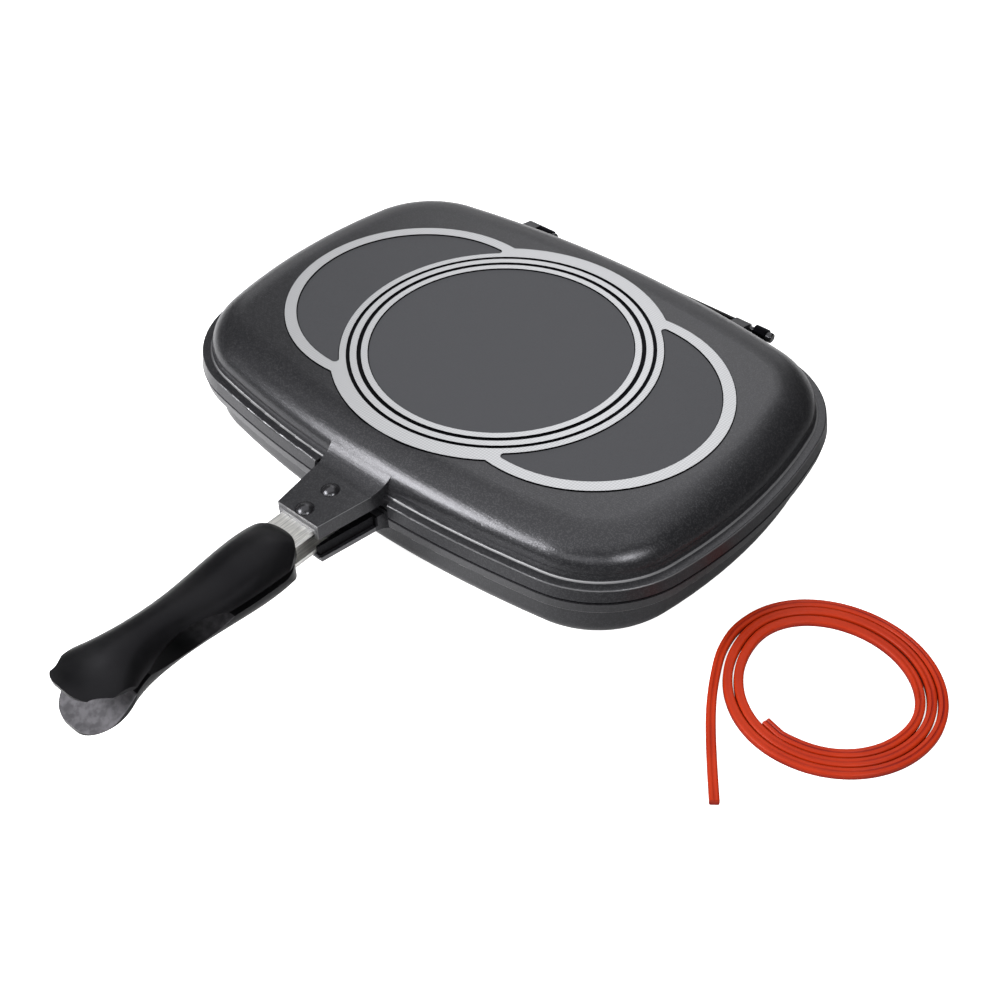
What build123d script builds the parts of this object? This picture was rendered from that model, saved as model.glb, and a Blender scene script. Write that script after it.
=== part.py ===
"""Double sided flip pan: two shallow cast pans hinged rim to rim, with a split handle.

Millimetres, +Z up. The origin is the centre of the lower pan's base rings, on the surface
that the pan stands on. +Y points at the hinge and the handle runs out along -Y.
The pieces of the upper half are drawn first; what the lower half repeats is their mirror
image in the parting plane, the level where the two rims meet.
"""

import os
from math import acos, asin, atan2, cos, degrees, hypot, pi, radians, sin, sqrt, tan

from build123d import *

# ---- Plan of the rims: a rounded rectangle with bowed sides -----------------------
pan_length = 322.4  # across the rims, along X
pan_width = 225.8  # across the rims, along Y
rim_centre_y = 1.8  # the rims sit this far behind the centre of the base rings
front_edge_y = rim_centre_y - pan_width / 2
rear_edge_y = rim_centre_y + pan_width / 2
side_bow_radius = 605.0  # front and back edges
end_bow_radius = 277.0  # left and right edges
corner_radius = 58.5

# ---- Section of a pan, measured inwards from the rim's edge and up from the parting --
parting_z = 36.5
rim_gap = 0.3  # between the closed rims
rim_height = 7.2  # thickness of the flange
rim_draft = 1.1  # the flange's edge leans in this much over its height
rim_round = 0.8
ledge_width = 5.6  # top of the flange, out to the wall
ledge_round = 1.5  # hollow corner between the ledge and the wall
wall_draft = 0.6
wall_thickness = 3.5
floor_thickness = 3.2
shoulder_reach = 22.0
shoulder_drop = 13.5
upper_depth = 24.2  # from the parting plane to the outside of the floor
ring_relief = 0.6  # how far the machined rings stand out of the floor

# ---- Machined rings on both floors ------------------------------------------------
inner_ring = (68.1, 71.4)  # inner and outer radius
middle_ring = (73.7, 77.1)
outer_ring = (79.1, 87.2)
outer_ring_waist = 82.5  # the outer ring narrows to this inside the crescents
crescent_ring = (64.4, 70.5)
crescent_offset = 58.4  # centre of each crescent's circle from the middle
crescent_corner = 2.0

# ---- Seal groove in the upper rim, and the strip that goes in it -------------------
strip_width = 4.4
strip_height = 3.6
groove_clearance = 0.1
groove_inset = 6.5  # middle of the groove from the rim's edge
seal_stand_out = 0.6  # the strip stands this far out of its groove

# ---- Cast lug that carries the tang, and its rivets --------------------------------
lug_front_y = front_edge_y - 32.1
lug_front_half_width = 13.3
lug_root_y = front_edge_y + 13.1
lug_root_half_width = 20.5
lug_top = 11.5  # above the parting plane
lug_bottom = 3.0
lug_lip = 0.8  # the lower band of the front face stands out this far
lug_lip_height = 2.2
lug_blend_start_y = front_edge_y - 2.8  # where the lug's top starts to rise to the shoulder
lug_blend_run = 12.8
lug_blend_radius = 17.2
lug_recess = 1.8  # the lower lug's sides are set back this far, above its bottom plate
lug_recess_end = 1.0  # and stop this far in front of the rim
lug_plate = 2.6
notch_half_width = 24.0  # the flange stops this far from the middle
notch_depth = 4.2
notch_round = 3.5
rivet_ys = {"rear": front_edge_y - 10.9, "front": front_edge_y - 27.3}
rivet_shank_radius = 2.4
rivet_head_radius = 4.3
rivet_head_height = 2.2
rivet_tail_radius = 3.6
rivet_tail_height = 1.2
rivet_clearance = 0.05

# ---- Steel tang ---------------------------------------------------------------------
tang_width = 20.5
tang_thickness = 2.4
tang_corner = 2.0
tang_rear_y = front_edge_y + 1.1
tang_length = 86.0
tang_front_y = tang_rear_y - tang_length
tang_clearance = 0.1

# ---- Grip -----------------------------------------------------------------------------
grip_flat = {"upper": 2.4, "lower": 1.2}  # from the parting plane to the grip's flat face
grip_nose_y = front_edge_y - 40.4
grip_nose_setback = {"upper": 0.0, "lower": 1.8}
grip_nose_radius = 17.9
grip_length = {"upper": 125.0, "lower": 124.4}
grip_stations = (  # place behind the nose, half width, half height
    (-1.0, 17.6, 6.0),
    (4.0, 17.7, 10.4),
    (11.0, 17.7, 13.2),
    (20.0, 17.6, 14.2),
    (58.5, 14.3, 12.3),
    (98.5, 17.2, 13.4),
    (132.5, 17.6, 13.8),
)
grip_swell = {"upper": 0.0, "lower": 2.8}  # added to the half heights
grip_tail_corner = 14.5
tail_cut_start_y = grip_nose_y - 102.5  # where the cut leaves the flat face
tail_cut_setback = 1.0  # the cut reaches its height this far in front of the tail
tail_cut_height = {"upper": 8.5, "lower": 12.6}  # above the parting plane
tail_cut_radius = 60.0
scallop_front_y = grip_nose_y - 47.0
scallop_rear_y = grip_nose_y - 91.5
scallop_crown = 6.8  # above the parting plane

# ---- Screw and magnets in each grip ----------------------------------------------------
screw_y = grip_nose_y - 24.5
screw_shank_radius = 2.0
screw_head_radius = 3.5
screw_head_height = 2.2
screw_length = 9.0
screw_clearance = 0.1
magnet_ys = {"front": grip_nose_y - 38.0, "rear": grip_nose_y - 97.2}
magnet_radius = 4.5
magnet_height = 3.0
magnet_clearance = 0.05
magnet_boss_wall = 1.2

# ---- Hinge -----------------------------------------------------------------------------
axis_y = rear_edge_y + 6.3
knuckle_radius = 3.6
low_knuckle_radius = 2.6  # of the right upper ear
pin_radius = 1.6
pin_running_clearance = 0.05
pin_fixed_clearance = 0.01
pin_head_radius = 2.8
pin_head_round = 1.0
pin_tail = 0.6  # the pin stands this far out of the upper ear
hinges = {  # along X: upper ear, lower ear, outer end of the pin's head
    "left": ((-85.3, -76.9), (-76.6, -67.5), -64.5),
    "right": ((62.5, 71.6), (75.4, 83.0), 86.6),
}
upper_knuckle_radii = {"left": knuckle_radius, "right": low_knuckle_radius}
ear_root_y = rear_edge_y - 10.7
ear_gap = 0.4  # between an ear and the parting plane

# ---- Drip tray under the back edge of the lower pan --------------------------------------
lower_depth = 35.9
tray_half_length = 61.6
tray_wall = 1.6
tray_wall_clearance = 2.0  # from the pan's wall to the tray
tray_reach = 25.3  # from the pan's wall to the tray's straight outer face
tray_top = 7.9  # below the parting plane
tray_bottom = 19.5
tray_corner = 3.0
hook_x = 40.0
hook_width = 8.0
hook_top = 11.5  # below the parting plane
hook_thickness = 2.0
hook_lip_height = 2.6
hook_lip_thickness = 1.5
hook_clearance = 0.3

# ---- Grill ribs in the lower pan, and its grease notch --------------------------------------
rib_height = 2.0
rib_width = 3.0
rib_pitch = 15.0
rib_count = 9
rib_margin = 14.0  # from the flat floor's edge to the ribs' ends
grease_notch_width = 30.0
grease_notch_depth = 1.2

# ---- The loose seal strip: a coil on the surface beside the pan, and its tail -------------------
coil_centre = (225.5, -33.1)
coil_reach = (  # middle of the strip from the coil's centre: left, back, right and front of a turn
    (50.4, 44.8, 49.3, 49.3),
    (45.5, 39.9, 44.4, 44.4),
    (40.6, 34.1, 39.5, 39.5),
)
coil_end_radius = 28.0  # the inner end curls in past the bottom of the coil
coil_end_angle = 12.5
strip_groove_width = 1.0
strip_groove_depth = 0.5
tail_route = (  # the free end first, laid towards the coil
    (222.3, -119.7),
    (206.4, -99.8),
    (190.6, -77.8),
    (179.9, -57.6),
    (175.9, -46.5),
)

# ---- Worked out from the sizes above ----------------------------------------------------------
parting_plane = Plane.XY.offset(parting_z)
wall_inset = rim_draft + ledge_width
floor_inset = wall_inset + wall_draft + shoulder_reach
tang_top = lug_top - 4.4
tang_bottom = tang_top - tang_thickness
groove_width = strip_width + 2 * groove_clearance
groove_depth = strip_height - seal_stand_out


def corner_centre():
    """Centre of a corner arc: inside both bowed sides by the same radius."""
    side_y = pan_width / 2 - side_bow_radius
    end_x = pan_length / 2 - end_bow_radius
    side_reach = side_bow_radius - corner_radius
    end_reach = end_bow_radius - corner_radius
    span = hypot(end_x, side_y)
    lean = acos((end_reach**2 + span**2 - side_reach**2) / (2 * end_reach * span))
    direction = atan2(side_y, -end_x) + lean
    return end_x + end_reach * cos(direction), end_reach * sin(direction)


corner_x, corner_y = corner_centre()
side_sweep = degrees(atan2(corner_x, corner_y - (pan_width / 2 - side_bow_radius)))
end_sweep = degrees(atan2(corner_y, corner_x - (pan_length / 2 - end_bow_radius)))
corner_sweep = 90 - side_sweep - end_sweep


def outline_arcs(inset):
    """Arcs of the rims' plan, moved inwards by inset, from the middle of the front edge."""
    side = side_bow_radius - inset
    end = end_bow_radius - inset
    corner = corner_radius - inset
    side_offset = pan_width / 2 - side_bow_radius
    end_offset = pan_length / 2 - end_bow_radius
    front = (0, rim_centre_y - side_offset)
    back = (0, rim_centre_y + side_offset)
    CenterArc(front, side, -90, side_sweep)
    CenterArc((corner_x, rim_centre_y - corner_y), corner, side_sweep - 90, corner_sweep)
    CenterArc((end_offset, rim_centre_y), end, -end_sweep, 2 * end_sweep)
    CenterArc((corner_x, rim_centre_y + corner_y), corner, end_sweep, corner_sweep)
    CenterArc(back, side, 90 - side_sweep, 2 * side_sweep)
    CenterArc((-corner_x, rim_centre_y + corner_y), corner, 90 + side_sweep, corner_sweep)
    CenterArc((-end_offset, rim_centre_y), end, 180 - end_sweep, 2 * end_sweep)
    CenterArc((-corner_x, rim_centre_y - corner_y), corner, 180 + end_sweep, corner_sweep)
    CenterArc(front, side, 270 - side_sweep, side_sweep)


def outline_path():
    """The rims' edge as a closed path on the parting plane."""
    with BuildLine(parting_plane) as path:
        outline_arcs(0)
    return path.wires()[0]


def section_plane():
    """Upright plane across the front rim: x runs inwards, y up from the parting plane."""
    return Plane(origin=(0, front_edge_y, parting_z), x_dir=(0, 1, 0), z_dir=(1, 0, 0))


def shoulder(inset, level, reach, drop):
    """Quarter ellipse from the top of the wall to the edge of the flat floor."""
    EllipticalCenterArc((inset + reach, level), reach, drop, 180, arc_size=-90)


def outer_form(depth):
    """The pan's outside as one solid block, with its flange."""
    level = depth - shoulder_drop
    with BuildPart() as form:
        with BuildSketch(section_plane()):
            with BuildLine():
                Polyline(
                    (floor_inset, depth),
                    (floor_inset, rim_gap / 2),
                    (0, rim_gap / 2),
                    (rim_draft, rim_height - rim_round),
                )
                CenterArc((rim_draft + rim_round, rim_height - rim_round), rim_round, 180, -90)
                Line((rim_draft + rim_round, rim_height), (wall_inset - ledge_round, rim_height))
                CenterArc((wall_inset - ledge_round, rim_height + ledge_round), ledge_round, -90, 90)
                Line((wall_inset, rim_height + ledge_round), (wall_inset + wall_draft, level))
                shoulder(wall_inset + wall_draft, level, shoulder_reach, shoulder_drop)
            make_face()
        sweep(path=outline_path())
        with BuildSketch(Plane.XY.offset(parting_z + rim_gap / 2)):
            with BuildLine():
                outline_arcs(floor_inset)
            make_face()
        extrude(amount=depth - rim_gap / 2)
    return form.part


def cavity_form(depth):
    """The hollow of a pan: the outside moved in by the wall and the floor."""
    level = depth - shoulder_drop
    mouth = wall_inset + wall_thickness
    with BuildPart() as form:
        with BuildSketch(section_plane()):
            with BuildLine():
                Polyline(
                    (floor_inset, depth - floor_thickness),
                    (floor_inset, 0),
                    (mouth, 0),
                    (mouth + wall_draft, level),
                )
                reach = shoulder_reach - wall_thickness
                shoulder(mouth + wall_draft, level, reach, shoulder_drop - floor_thickness)
            make_face()
        sweep(path=outline_path())
        with BuildSketch(parting_plane):
            with BuildLine():
                outline_arcs(floor_inset)
            make_face()
        extrude(amount=depth - floor_thickness)
    return form.part


def crescent_pocket(side):
    """The coated floor inside a crescent, with its two horns rounded."""
    with BuildSketch() as pocket:
        with Locations((side * crescent_offset, 0)):
            Circle(crescent_ring[0])
        Circle(outer_ring_waist, mode=Mode.SUBTRACT)
        horns = pocket.vertices().filter_by(lambda vertex: abs(vertex.Y) > crescent_corner)
        fillet(horns, crescent_corner)
    return pocket.sketch


def ring_pattern(level):
    """The machined rings in plan: two plain rings, and one joined to two crescents."""
    with BuildSketch(Plane.XY.offset(level)) as rings:
        Circle(outer_ring[1])
        with Locations((-crescent_offset, 0), (crescent_offset, 0)):
            Circle(crescent_ring[1])
        add([crescent_pocket(-1), crescent_pocket(1)], mode=Mode.SUBTRACT)
        Circle(outer_ring[0], mode=Mode.SUBTRACT)
        for inner, outer in (middle_ring, inner_ring):
            Circle(outer)
            Circle(inner, mode=Mode.SUBTRACT)
    return rings.sketch


def lug_plan(front_y, front_half_width, height):
    """Tapered plan of the lug, from the pan's wall to its front face."""
    with BuildSketch(Plane.XY.offset(parting_z + height)) as plan:
        with BuildLine():
            Polyline(
                (-front_half_width, front_y),
                (front_half_width, front_y),
                (lug_root_half_width, lug_root_y),
                (-lug_root_half_width, lug_root_y),
                close=True,
            )
        make_face()
    return plan.sketch


def lug_blend():
    """Side view of the hollow curve in which the lug's top rises into the pan's shoulder."""
    top_z = parting_z + lug_top
    middle = (lug_blend_start_y + lug_blend_run / 2, top_z + lug_blend_radius / 2)
    with BuildSketch(Plane.YZ.offset(-lug_root_half_width)) as profile:
        with Locations(middle):
            Rectangle(lug_blend_run, lug_blend_radius)
        with Locations((lug_blend_start_y, top_z + lug_blend_radius)):
            Circle(lug_blend_radius, mode=Mode.SUBTRACT)
    return profile.sketch


def lug_recess_plan():
    """Strips along both sides of the lower lug, as far as its sides are set back."""
    end_y = front_edge_y - lug_recess_end
    share = (end_y - lug_front_y) / (lug_root_y - lug_front_y)
    end_half_width = lug_front_half_width + share * (lug_root_half_width - lug_front_half_width)
    with BuildSketch(Plane.XY.offset(parting_z - lug_top + lug_plate)) as plan:
        for side in (-1, 1):
            with BuildLine():
                Polyline(
                    (side * (lug_front_half_width - lug_recess), lug_front_y),
                    (side * (lug_front_half_width + lug_recess), lug_front_y),
                    (side * (end_half_width + lug_recess), end_y),
                    (side * (end_half_width - lug_recess), end_y),
                    close=True,
                )
            make_face()
    return plan.sketch


def notch_plan():
    """Plan of the gap in the flange at the lug: its back corners are round, and so is its mouth."""
    rear_y = front_edge_y + notch_depth
    mouth_y = front_edge_y - rim_draft
    with BuildSketch(parting_plane) as plan:
        with Locations((0, (rear_y + mouth_y) / 2)):
            Rectangle(2 * notch_half_width, rear_y - mouth_y)
        for side in (-1, 1):
            flare_y = front_edge_y + notch_round
            with Locations((side * (notch_half_width + notch_round / 2), (flare_y + mouth_y) / 2)):
                Rectangle(notch_round, flare_y - mouth_y)
            with Locations((side * (notch_half_width + notch_round), flare_y)):
                Circle(notch_round, mode=Mode.SUBTRACT)
    return plan.sketch


def ear_profile(x, radius):
    """Side view of a hinge ear of the upper pan: a knuckle on an arm from the rim."""
    with BuildSketch(Plane.YZ.offset(x)) as profile:
        with BuildLine():
            Polyline(
                (ear_root_y, parting_z + ear_gap),
                (axis_y, parting_z + ear_gap),
                (axis_y, parting_z + radius),
                (ear_root_y, parting_z + rim_height - ear_gap),
                close=True,
            )
        make_face()
        with Locations((axis_y, parting_z)):
            Circle(radius)
    return profile.sketch


def pan_half(depth, ear_index, knuckle_radii, bore_clearance):
    """One pan, drawn the upper way up: flange, shoulder, floor rings, lug and hinge ears."""
    with BuildPart() as pan:
        add(outer_form(depth))
        extrude(notch_plan(), amount=rim_height, mode=Mode.SUBTRACT)
        extrude(lug_plan(lug_front_y, lug_front_half_width, lug_bottom), amount=lug_top - lug_bottom)
        lip_half_width = lug_front_half_width - lug_lip
        extrude(lug_plan(lug_front_y - lug_lip, lip_half_width, tang_top), amount=lug_lip_height)
        with BuildPart(mode=Mode.PRIVATE) as blend:
            extrude(lug_plan(lug_front_y, lug_front_half_width, lug_top), amount=lug_blend_radius)
            extrude(lug_blend(), amount=2 * lug_root_half_width, mode=Mode.INTERSECT)
        add(blend.part)
        for side, ears in hinges.items():
            low_x, high_x = ears[ear_index]
            extrude(ear_profile(low_x, knuckle_radii[side]), amount=high_x - low_x)
        add(cavity_form(depth), mode=Mode.SUBTRACT)
        rings = ring_pattern(parting_z + depth - floor_thickness / 2)
        extrude(rings, amount=floor_thickness / 2 + ring_relief)
        with BuildSketch(Plane.XY.offset(parting_z + lug_bottom)):
            channel_half_width = tang_width / 2 + tang_clearance
            with Locations((0, (lug_front_y - lug_lip + tang_rear_y) / 2)):
                Rectangle(2 * channel_half_width, tang_rear_y - lug_front_y + lug_lip + 2 * tang_clearance)
        extrude(amount=tang_top - lug_bottom, mode=Mode.SUBTRACT)
        with BuildSketch(Plane.XY.offset(parting_z + tang_top)):
            with Locations(*((0, y) for y in rivet_ys.values())):
                Circle(rivet_shank_radius + rivet_clearance)
        extrude(amount=lug_top - tang_top, mode=Mode.SUBTRACT)
        for ears in hinges.values():
            low_x, high_x = ears[ear_index]
            with BuildSketch(Plane.YZ.offset(low_x)):
                with Locations((axis_y, parting_z)):
                    Circle(pin_radius + bore_clearance)
            extrude(amount=high_x - low_x, mode=Mode.SUBTRACT)
    return pan.part


def groove_section():
    """Section of the seal's groove in the rim."""
    with BuildSketch(section_plane()) as section:
        with Locations((groove_inset, rim_gap / 2 + groove_depth / 2)):
            Rectangle(groove_width, groove_depth)
    return section.sketch


def export_piece(piece, name):
    """Labels a finished piece and writes it as its own STEP file."""
    piece.label = name
    export_step(piece, f"parts/{name}.step")


def mirrored(piece):
    """The lower half's twin of an upper piece."""
    with BuildPart() as twin:
        mirror(piece, about=parting_plane)
    return twin.part


# ---- Pans -----------------------------------------------------------------------------------


def make_upper_pan():
    """Upper pan: plain inside, with the seal's groove in its rim."""
    with BuildPart() as upper_pan:
        add(pan_half(upper_depth, 0, upper_knuckle_radii, pin_running_clearance))
        sweep(groove_section(), path=outline_path(), mode=Mode.SUBTRACT)
    return upper_pan.part


def rear_bow_centre_y():
    """Centre of the arc that the back edge follows."""
    return rear_edge_y - side_bow_radius


def bow_y(radius, x):
    """Y of an arc about the back edge's centre, at a given X."""
    return rear_bow_centre_y() + sqrt(radius**2 - x**2)


wall_radius = side_bow_radius - wall_inset  # of the lower pan's wall under the flange
tray_inner_radius = wall_radius + tray_wall_clearance


def make_hook():
    """Cast hook under the back flange: an arm with a turned up lip, drawn at x = hook_x."""
    tray_face_y = bow_y(tray_inner_radius + tray_wall, hook_x)
    lip_y = tray_face_y + hook_clearance
    arm_z = parting_z - hook_top - hook_thickness
    with BuildPart() as hook:
        with BuildSketch(Plane.YZ.offset(hook_x - hook_width / 2)):
            with BuildLine():
                Polyline(
                    (lip_y + hook_lip_thickness, arm_z),
                    (lip_y + hook_lip_thickness, arm_z + hook_thickness + hook_lip_height),
                    (lip_y, arm_z + hook_thickness + hook_lip_height),
                    (lip_y, arm_z + hook_thickness),
                    (bow_y(wall_radius - wall_thickness / 2, hook_x), arm_z + hook_thickness),
                    (bow_y(wall_radius - wall_thickness / 2, hook_x), arm_z),
                    close=True,
                )
            make_face()
        extrude(amount=hook_width)
    return hook.part


def make_lower_pan():
    """Lower pan: grill ribs inside, a grease notch at the back and the tray's hooks."""
    floor_z = parting_z - lower_depth + floor_thickness
    knuckle_radii = dict.fromkeys(hinges, knuckle_radius)
    with BuildPart() as lower_pan:
        add(mirrored(pan_half(lower_depth, 1, knuckle_radii, pin_fixed_clearance)))
        extrude(lug_recess_plan(), amount=lug_top - lug_plate - lug_bottom, mode=Mode.SUBTRACT)
        for side in (-1, 1):
            hook = make_hook()
            add(hook if side > 0 else mirror(hook, about=Plane.YZ, mode=Mode.PRIVATE))
        with BuildSketch(Plane.XY.offset(floor_z - floor_thickness / 4)):
            rib_half_length = pan_length / 2 - floor_inset - rib_margin
            with Locations((0, rim_centre_y)):
                with GridLocations(0, rib_pitch, 1, rib_count):
                    SlotOverall(2 * rib_half_length, rib_width)
        extrude(amount=rib_height + floor_thickness / 4)
        with BuildSketch(Plane.XY.offset(parting_z)):
            with Locations((0, rear_edge_y)):
                Rectangle(grease_notch_width, 2 * (wall_inset + 2 * wall_thickness))
        extrude(amount=-(grease_notch_depth + rim_gap / 2), mode=Mode.SUBTRACT)
    return lower_pan.part


# ---- Handle -----------------------------------------------------------------------------------


def make_tang():
    """Flat steel bar from the lug's channel into the grip, with rivet and screw holes."""
    with BuildPart() as tang:
        with BuildSketch(Plane.XY.offset(parting_z + tang_bottom)):
            with Locations((0, (tang_rear_y + tang_front_y) / 2)):
                RectangleRounded(tang_width, tang_rear_y - tang_front_y, tang_corner)
            with Locations(*((0, y) for y in rivet_ys.values())):
                Circle(rivet_shank_radius + rivet_clearance, mode=Mode.SUBTRACT)
            with Locations((0, screw_y)):
                Circle(screw_shank_radius + screw_clearance, mode=Mode.SUBTRACT)
        extrude(amount=tang_thickness)
    return tang.part


def make_rivet(y):
    """Round head on the lug, shank through lug and tang, flat tail under the tang."""
    head_plane = Plane(origin=(0, y, parting_z), x_dir=(1, 0, 0), z_dir=(0, -1, 0))
    crown_z = lug_top + rivet_head_height
    bow = (rivet_head_radius**2 + rivet_head_height**2) / (2 * rivet_head_height)
    with BuildPart() as rivet:
        with BuildSketch(head_plane):
            with BuildLine():
                RadiusArc((0, crown_z), (rivet_head_radius, lug_top), bow)
                Polyline(
                    (rivet_head_radius, lug_top),
                    (rivet_shank_radius, lug_top),
                    (rivet_shank_radius, tang_bottom),
                    (rivet_tail_radius, tang_bottom),
                    (rivet_tail_radius, tang_bottom - rivet_tail_height),
                    (0, tang_bottom - rivet_tail_height),
                    (0, crown_z),
                )
            make_face()
        revolve(axis=Axis((0, y, 0), (0, 0, 1)))
    return rivet.part


def arc_centre(start, end, radius):
    """Centre of the arc from start to end that lies to the right of that direction."""
    run = (end[0] - start[0], end[1] - start[1])
    chord = hypot(*run)
    height = sqrt(radius**2 - (chord / 2) ** 2)
    middle = ((start[0] + end[0]) / 2, (start[1] + end[1]) / 2)
    return middle[0] + run[1] / chord * height, middle[1] - run[0] / chord * height


def make_grip(half):
    """Grip, drawn as the upper one: half of a waisted oval bar, scalloped and cut at the tail."""
    flat = grip_flat[half]
    nose_y = grip_nose_y - grip_nose_setback[half]
    side_x = 2 * grip_nose_radius
    with BuildPart() as grip:
        for along, half_width, half_height in grip_stations:
            with BuildSketch(Plane.XZ.offset(along - nose_y)):
                with Locations((0, parting_z)):
                    Ellipse(half_width, half_height + grip_swell[half])
        loft()
        with BuildSketch(Plane.XY.offset(parting_z + flat)):
            nose_centre_y = nose_y - grip_nose_radius
            straight = grip_length[half] - grip_nose_radius
            with Locations((0, nose_centre_y)):
                Circle(grip_nose_radius)
            with Locations((0, nose_centre_y - straight / 2)):
                Rectangle(2 * grip_nose_radius, straight)
            tail_corners = vertices().sort_by(Axis.Y)[:2]
            fillet(tail_corners, grip_tail_corner)
        extrude(amount=side_x, mode=Mode.INTERSECT)
        extrude(scallop_profile(-side_x, flat), amount=2 * side_x, mode=Mode.SUBTRACT)
        extrude(tail_profile(-side_x, half), amount=2 * side_x, mode=Mode.SUBTRACT)
        for y in magnet_ys.values():
            extrude(disc(y, magnet_radius + magnet_boss_wall, rim_gap / 2), amount=flat)
            pocket = disc(y, magnet_radius + magnet_clearance, rim_gap / 2)
            extrude(pocket, amount=magnet_height, mode=Mode.SUBTRACT)
        with BuildSketch(Plane.XY.offset(parting_z + tang_bottom - tang_clearance)):
            with Locations((0, (grip_nose_y + tang_front_y) / 2)):
                slot_length = grip_nose_y - tang_front_y + 2 * tang_clearance
                Rectangle(tang_width + 2 * tang_clearance, slot_length)
        extrude(amount=tang_thickness + 2 * tang_clearance, mode=Mode.SUBTRACT)
        head_hole = disc(screw_y, screw_head_radius + screw_clearance, 0)
        extrude(head_hole, amount=tang_bottom, mode=Mode.SUBTRACT)
        shank_hole = disc(screw_y, screw_shank_radius + screw_clearance, tang_bottom)
        extrude(shank_hole, amount=screw_length - screw_head_height, mode=Mode.SUBTRACT)
    return grip.part


def disc(y, radius, height):
    """Level disc on the handle's middle line, at a height over the parting plane."""
    with BuildSketch(Plane.XY.offset(parting_z + height)) as sketch:
        with Locations((0, y)):
            Circle(radius)
    return sketch.sketch


def scallop_profile(x, flat):
    """Circle that cuts the finger opening across the grip's flat face."""
    chord = scallop_front_y - scallop_rear_y
    height = scallop_crown - flat
    radius = ((chord / 2) ** 2 + height**2) / (2 * height)
    crown_z = parting_z + scallop_crown
    with BuildSketch(Plane.YZ.offset(x)) as profile:
        with Locations(((scallop_front_y + scallop_rear_y) / 2, crown_z - radius)):
            Circle(radius)
    return profile.sketch


def tail_profile(x, half):
    """Circle that cuts the tail on a slant, so that the pair gapes in a V."""
    tail_y = grip_nose_y - grip_nose_setback[half] - grip_length[half]
    start = (tail_cut_start_y, parting_z + grip_flat[half])
    end = (tail_y + tail_cut_setback, parting_z + tail_cut_height[half])
    with BuildSketch(Plane.YZ.offset(x)) as profile:
        with Locations(arc_centre(end, start, tail_cut_radius)):
            Circle(tail_cut_radius)
    return profile.sketch


def make_grip_screw():
    """Pan head screw up through the tang into the grip."""
    with BuildPart() as screw:
        extrude(disc(screw_y, screw_head_radius, tang_bottom), amount=-screw_head_height)
        extrude(disc(screw_y, screw_shank_radius, tang_bottom), amount=screw_length - screw_head_height)
    return screw.part


def make_magnet(y):
    """Disc magnet in its boss, its face level with the rim."""
    with BuildPart() as magnet:
        extrude(disc(y, magnet_radius, rim_gap / 2), amount=magnet_height)
    return magnet.part


# ---- Hinge pins and drip tray ---------------------------------------------------------------------


def make_hinge_pin(ears):
    """Pin through both ears, with a stout head against the lower ear."""
    (upper_low, _), (_, lower_high), head_end = ears
    with BuildPart() as pin:
        with BuildSketch(Plane.YZ.offset(upper_low - pin_tail)):
            with Locations((axis_y, parting_z)):
                Circle(pin_radius)
        extrude(amount=lower_high - upper_low + pin_tail)
        with BuildSketch(Plane.YZ.offset(lower_high)):
            with Locations((axis_y, parting_z)):
                Circle(pin_head_radius)
        extrude(amount=head_end - lower_high)
        head_rim = edges().filter_by(GeomType.CIRCLE).sort_by(Axis.X)[-1]
        fillet(head_rim, pin_head_round)
    return pin.part


def tray_plan(inner_radius, outer_y, half_length, z):
    """Plan between an arc about the back edge's centre and a straight outer side."""
    angle = degrees(asin(half_length / inner_radius))
    end_y = bow_y(inner_radius, half_length)
    with BuildSketch(Plane.XY.offset(z)) as plan:
        with BuildLine():
            CenterArc((0, rear_bow_centre_y()), inner_radius, 90 - angle, 2 * angle)
            Polyline(
                (-half_length, end_y),
                (-half_length, outer_y),
                (half_length, outer_y),
                (half_length, end_y),
            )
        make_face()
    return plan.sketch


def make_drip_tray():
    """Trough that hangs on the lower pan's two hooks: bowed at the pan, straight outside."""
    outer_y = rear_edge_y - wall_inset + tray_reach
    arm_top_z = parting_z - hook_top
    bottom_z = parting_z - tray_bottom
    with BuildPart() as tray:
        outside = tray_plan(tray_inner_radius, outer_y, tray_half_length, bottom_z)
        extrude(outside, amount=tray_bottom - tray_top)
        outer_corners = edges().filter_by(Axis.Z).sort_by(Axis.Y)[-2:]
        fillet(outer_corners, tray_corner)
        trough = tray_plan(
            tray_inner_radius + tray_wall,
            outer_y - tray_wall,
            tray_half_length - tray_wall,
            bottom_z + tray_wall,
        )
        extrude(trough, amount=tray_bottom - tray_top, mode=Mode.SUBTRACT)
        for side in (-1, 1):
            with BuildSketch(Plane.XY.offset(arm_top_z - hook_thickness - hook_clearance)):
                with Locations((side * hook_x, bow_y(tray_inner_radius, hook_x))):
                    Rectangle(hook_width + 2 * hook_clearance, 3 * tray_wall)
            extrude(amount=hook_thickness + hook_clearance, mode=Mode.SUBTRACT)
    return tray.part


# ---- Seal strip --------------------------------------------------------------------------------------


def strip_section(point, heading):
    """The strip's section, square to its route: a bar on edge with a groove along its top."""
    across = (heading.Y, -heading.X, 0)
    with BuildSketch(Plane(origin=(*point, strip_height / 2), x_dir=across, z_dir=heading)) as section:
        Rectangle(strip_width, strip_height)
        with Locations((0, strip_height / 2)):
            Rectangle(strip_groove_width, 2 * strip_groove_depth, mode=Mode.SUBTRACT)
    return section.sketch


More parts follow.
